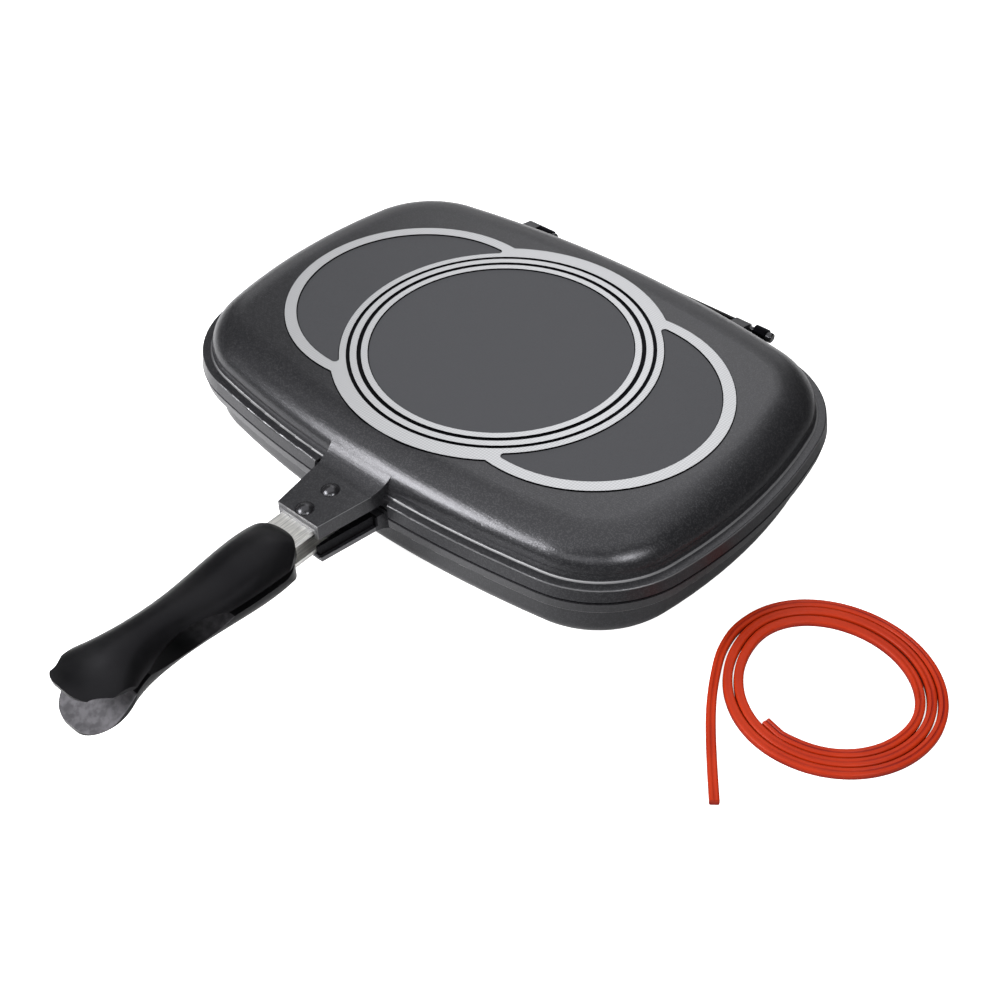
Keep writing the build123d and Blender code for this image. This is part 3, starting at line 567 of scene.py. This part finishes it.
def coat_material(settings):
    """Dark coat with fine metallic flakes, cut through by the bright machined rings."""
    material, tree, shader = new_material("flake coat and machined rings")
    place = object_place(tree)
    z = place_parts(tree, place)[2]
    off_middle = (z - PAN_MIDDLE_Z).math("ABSOLUTE")
    on_ring = off_middle > RING_FACE
    off_ring = on_ring.complement()
    on_floor = off_middle > FLOOR_FACE
    lines = use_group(tree, "ring lines", Place=place, Width=settings.line_width)
    ring_line = lines["Line"] * on_floor * off_ring
    # Painted shade, joined with the dark lines beside the rings.
    dark = use_group(tree, "painted shade", Place=place)["Dark"].math("MAXIMUM", ring_line)
    flakes = use_group(
        tree,
        "metal flakes",
        Place=place,
        Size=settings.flake_size,
        Share=settings.flake_share,
        Tilt=off_ring * settings.flake_tilt,
    )
    matte = lines["Floor"] * on_floor * off_ring
    flake = flakes["Flake"] * off_ring * matte.complement() * settings.flake_strength
    dots = use_group(tree, "machined dots", Place=place, Pitch=settings.dot_pitch)["Dots"]
    grain = use_group(tree, "moulded grain", Place=place)
    painted_light = use_group(tree, "painted light", Place=place)
    clouds = grain["Tint"].smooth(*SOFT_CLOUDS, 0.0, COAT_CLOUD_SHARE)
    coat = mix(tree, clouds, tuple(settings.dark), tuple(settings.cloud))
    # On the coat go the flakes and the floors, then painted light, then painted shade.
    for mask, tone in (
        (flake, settings.flake),
        (matte, settings.floor),
        (painted_light["Lit"], settings.painted_light),
        (dark, settings.line),
    ):
        coat = mix(tree, mask, coat, tuple(tone))
    dotted = dots * (lines["Wide"] * WIDE_RING_DOTS + RING_DOTS)
    bright = mix(tree, dotted, tuple(settings.metal), tuple(settings.dots))
    shine = on_ring * settings.ring_metal + flake
    rough = on_ring * settings.ring_roughness + settings.roughness
    rough = rough + (dark + matte + painted_light["Foot"]) * settings.matte_roughness
    height = grain["Height"] * off_ring + dotted
    put(tree, shader.inputs["Base Color"], mix(tree, on_ring, coat, bright))
    # Painted shade is black metal, so it gives back no shine.
    put(tree, shader.inputs["Metallic"], shine.math("MAXIMUM", dark))
    put(tree, shader.inputs["Roughness"], rough)
    put(tree, shader.inputs["Normal"], bump(tree, height, settings.grain, flakes["Normal"]))
    shader.inputs["Specular Tint"].default_value = tuple(settings.gloss)
    return material


def on_arc(y, z, arc):
    """1 where the distance from an arc's middle, in side view, lies between its two radii."""
    (middle_y, middle_z), radii = arc
    return distance(y - middle_y, z - middle_z).between(*radii)


MOTTLE_WAVES = 260.0  # waves to the metre of the cut faces' blotches
RAMP_SHARE = 0.5  # painted light: the scallop's end is this pale next to the tail's cut
GRIP_ROUGHENING = 0.06  # by the clouds, and by the blotches
CUT_ROUGHENING = 0.1


def grip_material(settings):
    """Black satin moulded plastic, with pale blotched painted light where the lower grip is cut."""
    material, tree, shader = new_material("satin grip plastic")
    place = object_place(tree)
    _, y, z = place_parts(tree, place)
    grain = use_group(tree, "moulded grain", Place=place)
    clouds = grain["Tint"].smooth(*SOFT_CLOUDS)
    mottle = noise(tree, place, MOTTLE_WAVES, 4.0).smooth(*CLEAR_CLOUDS)
    tail = on_arc(y, z, TAIL_CUT) * (y < TAIL_CUT_START_Y)
    ramp = on_arc(y, z, SCALLOP) * y.smooth(*SCALLOP_RAMP) * (z < PARTING_Z)
    cut = (tail + ramp * RAMP_SHARE).math("MINIMUM", 1.0)
    skin = mix(tree, clouds, tuple(settings.grip), tuple(settings.grip_cloud))
    blotches = mottle * 0.5 + 0.5
    rough = clouds * GRIP_ROUGHENING + mottle * GRIP_ROUGHENING + settings.grip_roughness
    # Painted light on the cut faces, in blotches.
    put(tree, shader.inputs["Base Color"], mix(tree, cut * blotches, skin, tuple(settings.cut)))
    put(tree, shader.inputs["Roughness"], rough + cut * CUT_ROUGHENING)
    put(tree, shader.inputs["Normal"], bump(tree, grain["Height"], settings.grip_grain))
    shader.inputs["Specular IOR Level"].default_value = settings.grip_gloss
    shader.inputs["Specular Tint"].default_value = tuple(settings.grip_tint)
    return material


BRUSH_WAVES = (2600.0, 90.0, 2600.0)  # waves to the metre across, along and through a tang
BRUSH_ROUGHENING = 0.2


def steel_material(settings):
    """Brushed steel: noise drawn out along the bar."""
    material, tree, shader = new_material("brushed tang steel")
    drawn = add_node(tree, "ShaderNodeMapping", Vector=object_place(tree), Scale=BRUSH_WAVES)
    brush = noise(tree, drawn, 1.0, 3.0)
    lines = brush.smooth(*CLEAR_CLOUDS)
    tone = mix(tree, lines, tuple(settings.steel), tuple(settings.steel_lines))
    put(tree, shader.inputs["Base Color"], tone)
    put(tree, shader.inputs["Roughness"], brush * BRUSH_ROUGHENING + settings.steel_roughness)
    put(tree, shader.inputs["Normal"], bump(tree, brush, settings.steel_grain))
    shader.inputs["Metallic"].default_value = settings.steel_metal
    return material


DARK_STEEL_ROUGHENING = 0.06


def dark_steel_material(settings):
    """Dark polished steel of the rivets and pins."""
    material, tree, shader = new_material("dark polished steel")
    grain = use_group(tree, "moulded grain", Place=object_place(tree))
    clouds = grain["Tint"]
    tone = mix(tree, clouds, tuple(settings.dark_steel), tuple(settings.dark_steel_cloud))
    rough = clouds * DARK_STEEL_ROUGHENING + settings.dark_steel_roughness
    put(tree, shader.inputs["Base Color"], tone)
    put(tree, shader.inputs["Roughness"], rough)
    put(tree, shader.inputs["Normal"], bump(tree, grain["Height"], settings.dark_steel_grain))
    shader.inputs["Metallic"].default_value = settings.dark_steel_metal
    return material


STRIP_CLOUD_SHARE = 0.25  # how far the strip leans to its clouds' colour
STRIP_ROUGHENING = 0.12


def silicone_material(settings):
    """Matte red silicone, with painted shade in the groove and low on its sides.

    The second coordinate of the strip's own map, section, holds how dark each place is."""
    material, tree, shader = new_material("red silicone")
    grain = use_group(tree, "moulded grain", Place=object_place(tree))
    section = add_node(tree, "ShaderNodeUVMap", settings={"uv_map": "section"})
    shade = place_parts(tree, section)[1]
    clouds = grain["Tint"].smooth(*CLEAR_CLOUDS) * STRIP_CLOUD_SHARE
    base = mix(tree, shade, tuple(settings.silicone), tuple(settings.shade))
    rough = grain["Height"] * STRIP_ROUGHENING + settings.roughness
    put(tree, shader.inputs["Base Color"], mix(tree, clouds, base, tuple(settings.cloud)))
    put(tree, shader.inputs["Roughness"], rough)
    put(tree, shader.inputs["Normal"], bump(tree, grain["Height"], settings.grain))
    shader.inputs["Specular IOR Level"].default_value = settings.gloss
    return material


def dress_node(name, material):
    """Gives a CAD node's object one material in place of its own."""
    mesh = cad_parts[name].data
    mesh.materials.clear()
    mesh.materials.append(material)


# ---- Seal strip ------------------------------------------------------------------------------

# Its route, in millimetres as in the CAD.
TAIL_ROUTE = ((222.3, -119.7), (206.4, -99.8), (190.6, -77.8), (179.9, -57.6), (175.9, -46.5))
COIL_CENTRE = (225.5, -33.1)
COIL_REACH = (  # from the centre: left, back, right and front of each turn
    (50.4, 44.8, 49.3, 49.3),
    (45.5, 39.9, 44.4, 44.4),
    (40.6, 34.1, 39.5, 39.5),
)
COIL_END = ((220.9, -72.4), (215.1, -71.0))
POINTS_A_TURN = 16

# How strong the groove is at each count of turns, clockwise from the coil's left side: it
# fades where the strip lies on its smooth side.
GROOVE_STRENGTH = (
    (-0.25, 0.35),
    (0.0, 0.7),
    (0.25, 1.0),
    (0.5, 1.0),
    (0.65, 0.6),
    (0.8, 0.1),
    (1.25, 0.1),
    (1.45, 0.8),
    (1.6, 0.6),
    (1.8, 0.1),
    (2.0, 0.0),
    (2.3, 0.1),
    (2.5, 0.9),
    (2.75, 1.0),
)

# The section: points on a corner, and how much shade is painted on its parts.
CORNER_POINTS = 4
LOW_SHADE = 0.8
GROOVE_SIDE_SHADE = 0.8
END_SHADE = 0.3
CREASE_ANGLE = 40  # degrees; edges sharper than this stay crisp
MAP_STEP = 0.001  # the map's first coordinate grows by this from section to section


def strip_route():
    """Control points of the strip: the free end's route, then the coil, clockwise and inwards.

    Each quarter turn is a quarter ellipse between the reach on one axis and on the next; the
    control points lie outside it by the amount that a quadratic spline cuts inside them."""
    quarter = POINTS_A_TURN // 4
    reaches = np.array(COIL_REACH).ravel()
    last_quarter = len(reaches) - 2
    step = np.arange((last_quarter + 1) * quarter + 1)
    angle = step / POINTS_A_TURN * 2 * np.pi
    part = np.minimum(step // quarter, last_quarter)
    along_x = np.where(part % 2 == 0, reaches[part], reaches[part + 1])
    along_y = np.where(part % 2 == 0, reaches[part + 1], reaches[part])
    spread = 8 / (6 + 2 * np.cos(2 * np.pi / POINTS_A_TURN))
    x = COIL_CENTRE[0] - along_x * spread * np.cos(angle)
    y = COIL_CENTRE[1] + along_y * spread * np.sin(angle)
    return np.array([*TAIL_ROUTE, *zip(x, y), *COIL_END]) * MM


def spline_points(route, height):
    """Points along the quadratic spline of the route, as Blender evaluates it."""
    curve = bpy.data.curves.new("strip line", "CURVE")
    curve.dimensions = "3D"
    spline = curve.splines.new("NURBS")
    spline.points.add(len(route) - 1)
    level = np.full((len(route), 1), height)
    places = np.hstack([route, level, np.ones_like(level)])
    spline.points.foreach_set("co", places.ravel())
    spline.order_u = 3
    spline.use_endpoint_u = True
    spline.resolution_u = 8
    line = bpy.data.objects.new("strip line", curve)
    bpy.context.collection.objects.link(line)
    bpy.context.view_layer.update()
    evaluated = line.evaluated_get(bpy.context.evaluated_depsgraph_get())
    mesh = bpy.data.meshes.new_from_object(evaluated)
    points = np.empty(len(mesh.vertices) * 3)
    mesh.vertices.foreach_get("co", points)
    bpy.data.meshes.remove(mesh)
    bpy.data.objects.remove(line)
    bpy.data.curves.remove(curve)
    return points.reshape(-1, 3)


def section_corner(settings, level, start, shade):
    """A corner of the section, a quarter circle from a start angle: across, up and shade."""
    angle = start + np.linspace(0, np.pi / 2, CORNER_POINTS)
    across = settings.width / 2 - settings.round + settings.round * np.cos(angle)
    up = level + settings.round * np.sin(angle)
    return np.stack([across, up, np.full(CORNER_POINTS, shade)], axis=1)


def strip_section(settings):
    """Outline of the strip's section: a rounded bar with a groove along the top, and its shade.

    The right half runs from the bottom to the middle of the groove, and the left half is its
    mirror image."""
    tall, corner = settings.height / 2, settings.round
    groove, deep = settings.groove_width / 2, settings.groove_depth
    low = section_corner(settings, corner - tall, -np.pi / 2, LOW_SHADE)
    high = section_corner(settings, tall - corner, 0.0, 0.0)
    dip = (
        (groove, tall, 0.0),
        (groove * 0.75, tall - deep * 0.55, GROOVE_SIDE_SHADE),
        (0.0, tall - deep, 1.0),
    )
    right = np.concatenate([low, high, dip])
    left = right[-2::-1] * (-1, 1, 1)
    return np.concatenate([right, left])


def groove_strength(points):
    """Share of the groove at each point of the line, read from its turn round the coil's centre."""
    x, y = (points[:, :2] - np.array(COIL_CENTRE) * MM).T
    turns = np.unwrap(np.arctan2(y, -x)) / (2 * np.pi)
    return np.interp(turns, *np.transpose(GROOVE_STRENGTH))


def sweep_flat(points, section):
    """Carries a section along a level line: across is the line's level normal, up is Z."""
    ahead = np.gradient(points, axis=0)
    ahead /= np.linalg.norm(ahead, axis=1, keepdims=True)
    across = np.stack([ahead[:, 1], -ahead[:, 0], np.zeros(len(points))], axis=1)
    up = np.array([0.0, 0.0, 1.0])
    return points[:, None] + across[:, None] * section[None, :, :1] + up * section[None, :, 1:2]


def tube_object(name, points, material):
    """Closed mesh from points [along, round, xyz]: quads between one section and the next, and
    a fan from the middle of each end."""
    along, around = points.shape[:2]
    index = np.arange(along * around).reshape(along, around)
    right = np.roll(index, -1, axis=1)
    quads = np.stack([index[:-1], right[:-1], right[1:], index[1:]], axis=-1).reshape(-1, 4)
    start = np.stack([right[0], index[0], np.full(around, along * around)], axis=-1)
    finish = np.stack([index[-1], right[-1], np.full(around, along * around + 1)], axis=-1)
    ends = np.stack([points[0].mean(axis=0), points[-1].mean(axis=0)])
    corners = np.concatenate([points.reshape(-1, 3), ends])
    mesh = bpy.data.meshes.new(name)
    mesh.from_pydata(corners.tolist(), [], quads.tolist() + start.tolist() + finish.tolist())
    mesh.materials.append(material)
    mesh.validate()
    made = bpy.data.objects.new(name, mesh)
    bpy.context.collection.objects.link(made)
    return made


def map_section(mesh, along, shade):
    """Writes the map named section: how far along each corner lies, and how dark it is."""
    owner = np.empty(len(mesh.loops), dtype=int)
    mesh.loops.foreach_get("vertex_index", owner)
    places = np.stack([along, shade], axis=1)
    mesh.uv_layers.new(name="section").data.foreach_set("uv", places[owner].ravel())


class FLIPPAN_OT_seal_strip(bpy.types.Operator):
    """Lays the loose silicone strip in its coil beside the pan"""

    bl_idname = "flip_pan.seal_strip"
    bl_label = "Seal strip"

    def execute(self, context):
        settings = context.scene.flip_pan_strip
        line = spline_points(strip_route(), settings.height / 2)
        section = strip_section(settings)
        strength = groove_strength(line)[:, None]
        points = sweep_flat(line, section)
        in_groove = (np.abs(section[:, 0]) < settings.groove_width) & (section[:, 1] > 0)
        dip = (settings.height / 2 - section[:, 1]) * in_groove
        points[:, :, 2] += dip * (1 - strength)
        strip = tube_object("seal_strip", points, silicone_material(settings))
        along = np.repeat(np.arange(len(line)), len(section)) * MAP_STEP
        shade = np.where(in_groove, section[:, 2] * strength, section[:, 2]).ravel()
        map_section(strip.data, np.append(along, (0, 0)), np.append(shade, (END_SHADE, END_SHADE)))
        strip.data.shade_smooth()
        strip.data.set_sharp_from_angle(angle=math.radians(CREASE_ANGLE))
        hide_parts("seal_strip_coil", "seal_strip_tail")
        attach(strip, "lower")
        return {"FINISHED"}


# ---- Pans and handle -------------------------------------------------------------------------


class FLIPPAN_OT_pans(bpy.types.Operator):
    """Finishes both pans with the flake coat and the machined rings"""

    bl_idname = "flip_pan.pans"
    bl_label = "Pans"

    def execute(self, context):
        coat = coat_material(context.scene.flip_pan_coat)
        for name in ("upper_pan", "lower_pan"):
            dress_node(name, coat)
        return {"FINISHED"}


class FLIPPAN_OT_handle(bpy.types.Operator):
    """Finishes the grips, tangs, screws, magnets and rivets"""

    bl_idname = "flip_pan.handle"
    bl_label = "Handle"

    def execute(self, context):
        settings = context.scene.flip_pan_handle
        finishes = (
            (grip_material(settings), ("grip",)),
            (steel_material(settings), ("tang", "grip_screw", "front_magnet", "rear_magnet")),
            (dark_steel_material(settings), ("front_rivet", "rear_rivet")),
        )
        for material, pieces in finishes:
            for piece in pieces:
                dress_node(f"upper_{piece}", material)
                dress_node(f"lower_{piece}", material)
        return {"FINISHED"}


class FLIPPAN_OT_hinge(bpy.types.Operator):
    """Finishes the hinge pins and the drip tray"""

    bl_idname = "flip_pan.hinge"
    bl_label = "Hinge pins and tray"

    def execute(self, context):
        settings = context.scene.flip_pan_handle
        pins = dark_steel_material(settings)
        dress_node("hinge_pin_left", pins)
        dress_node("hinge_pin_right", pins)
        dress_node("drip_tray", grip_material(settings))
        return {"FINISHED"}


# ---- Stage -----------------------------------------------------------------------------------

# Softboxes: name, azimuth and elevation in degrees, distance and sides in metres, power in watts.
LAMPS = (
    ("key softbox", -118.0, 35.0, 1.3, (0.66, 0.46), 20.0),
    ("side softbox", -19.0, 35.0, 1.4, (0.4, 0.26), 7.5),
    ("front softbox", -64.0, 36.0, 1.5, (0.8, 0.3), 3.0),
    ("back softbox", 122.0, 42.0, 1.5, (0.75, 0.5), 2.6),
    ("wall softbox", 130.0, 16.0, 2.0, (2.2, 0.8), 4.5),
    ("top softbox", 150.0, 84.0, 1.6, (2.2, 1.8), 15.8),
)
LAMPS_TARGET = Vector((0.0, 0.0, 0.04))
SENSOR_WIDTH = 36.0  # millimetres
FLOOR_HALF = 6.0  # half a side of the floor
DIM_SIDE = (0.0, 0.22)  # along X: painted shade, mirror images of the floor dim between these
GLOW_SQUARES = (0.4, 2.5)  # squares of the distances between which the floor grows white
NEAR_GLOW = 0.88


def area_lamp(name, azimuth, elevation, away, size, power):
    """Rectangular softbox that faces the pan, from a direction in degrees and so far away."""
    light = bpy.data.lights.new(name, "AREA")
    light.shape = "RECTANGLE"
    light.size, light.size_y = size
    light.energy = power
    lamp = bpy.data.objects.new(name, light)
    bpy.context.collection.objects.link(lamp)
    turn, tilt = math.radians(azimuth), math.radians(elevation)
    level = math.cos(tilt)
    direction = Vector((math.cos(turn) * level, math.sin(turn) * level, math.sin(tilt)))
    lamp.location = direction * away + LAMPS_TARGET
    lamp.rotation_euler = direction.to_track_quat("Z", "Y").to_euler()


def floor_material(settings):
    """Pale floor that the camera sees as white, with the shadows of the object left on it.

    In mirror images it glows weakly; at the right it is dim and doesn't glow, as painted shade."""
    material, tree, shader = new_material("pale floor")
    shader.inputs["Roughness"].default_value = 0.9
    shader.inputs["Specular IOR Level"].default_value = 0.0
    shader.inputs["Emission Color"].default_value = WHITE
    rays = tree.nodes.new("ShaderNodeLightPath")
    seen, mirrored = (Val(tree, rays.outputs[name]) for name in ("Is Camera Ray", "Is Glossy Ray"))
    x, y, _ = place_parts(tree, object_place(tree))
    glow = (x * x + y * y).smooth(*GLOW_SQUARES, NEAR_GLOW, 1.0)
    # Painted shade in the mirror images on the pan's right walls.
    dimmed = mirrored * x.smooth(*DIM_SIDE)
    tone = mix(tree, dimmed, tuple(settings.floor), tuple(settings.dim_floor))
    glowing = seen * glow + (mirrored - dimmed) * settings.floor_glow
    put(tree, shader.inputs["Base Color"], tone)
    put(tree, shader.inputs["Emission Strength"], glowing)
    return material


class FLIPPAN_OT_stage(bpy.types.Operator):
    """Sets up the camera, the floor, the lamps and the world"""

    bl_idname = "flip_pan.stage"
    bl_label = "Stage"

    def execute(self, context):
        scene = context.scene
        settings = scene.flip_pan_stage
        camera = bpy.data.objects.new("camera", bpy.data.cameras.new("camera"))
        context.collection.objects.link(camera)
        camera.data.lens = settings.lens
        camera.data.sensor_width = SENSOR_WIDTH
        camera.data.clip_start = 0.01
        camera.data.clip_end = 20.0
        camera.location = tuple(settings.eye)
        camera.rotation_euler = Euler(settings.turn)
        scene.camera = camera

        half = FLOOR_HALF
        corners = [(-half, -half, 0), (half, -half, 0), (half, half, 0), (-half, half, 0)]
        plane = bpy.data.meshes.new("floor")
        plane.from_pydata(corners, [], [(0, 1, 2, 3)])
        plane.materials.append(floor_material(settings))
        floor = bpy.data.objects.new("floor", plane)
        context.collection.objects.link(floor)

        for lamp in LAMPS:
            area_lamp(*lamp)

        world = bpy.data.worlds.new("studio")
        scene.world = world
        world.use_nodes = True
        tree = world.node_tree
        background = tree.nodes["Background"]
        rays = tree.nodes.new("ShaderNodeLightPath")
        seen = Val(tree, rays.outputs["Is Camera Ray"])
        strength = seen * (1.0 - settings.ambient) + settings.ambient
        put(tree, background.inputs["Strength"], strength)
        background.inputs["Color"].default_value = WHITE
        scene.view_settings.view_transform = "Standard"
        return {"FINISHED"}


# ---- Panel and registration ------------------------------------------------------------------

OPERATORS = (
    FLIPPAN_OT_stage,
    FLIPPAN_OT_seal_strip,
    FLIPPAN_OT_pans,
    FLIPPAN_OT_handle,
    FLIPPAN_OT_hinge,
)


class FLIPPAN_PT_pieces(bpy.types.Panel):
    """Lists the steps that dress the pan, and their settings"""

    bl_label = "Flip pan"
    bl_idname = "FLIPPAN_PT_pieces"
    bl_space_type = "VIEW_3D"
    bl_region_type = "UI"
    bl_category = "Flip pan"

    def draw(self, context):
        for operator in OPERATORS:
            self.layout.operator(operator.bl_idname)
        for name, group in SETTINGS.items():
            box = self.layout.box()
            for field in group.__annotations__:
                box.prop(getattr(context.scene, name), field)


def register():
    """Registers the settings, operators and panel."""
    for name, group in SETTINGS.items():
        bpy.utils.register_class(group)
        setattr(bpy.types.Scene, name, bpy.props.PointerProperty(type=group))
    for cls in (*OPERATORS, FLIPPAN_PT_pieces):
        bpy.utils.register_class(cls)


def unregister():
    """Removes what register added."""
    for cls in (FLIPPAN_PT_pieces, *reversed(OPERATORS)):
        bpy.utils.unregister_class(cls)
    for name, group in reversed(SETTINGS.items()):
        delattr(bpy.types.Scene, name)
        bpy.utils.unregister_class(group)


def main():
    """Dresses the pan step by step."""
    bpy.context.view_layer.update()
    register()
    groups = (
        make_flakes_group,
        make_machined_group,
        make_ring_lines_group,
        make_painted_shade_group,
        make_painted_light_group,
        make_grain_group,
    )
    for make_group in groups:
        make_group()
    bpy.ops.flip_pan.stage()
    bpy.ops.flip_pan.seal_strip()
    bpy.ops.flip_pan.pans()
    bpy.ops.flip_pan.handle()
    bpy.ops.flip_pan.hinge()
    bpy.context.view_layer.update()


if __name__ == "__main__":
    main()
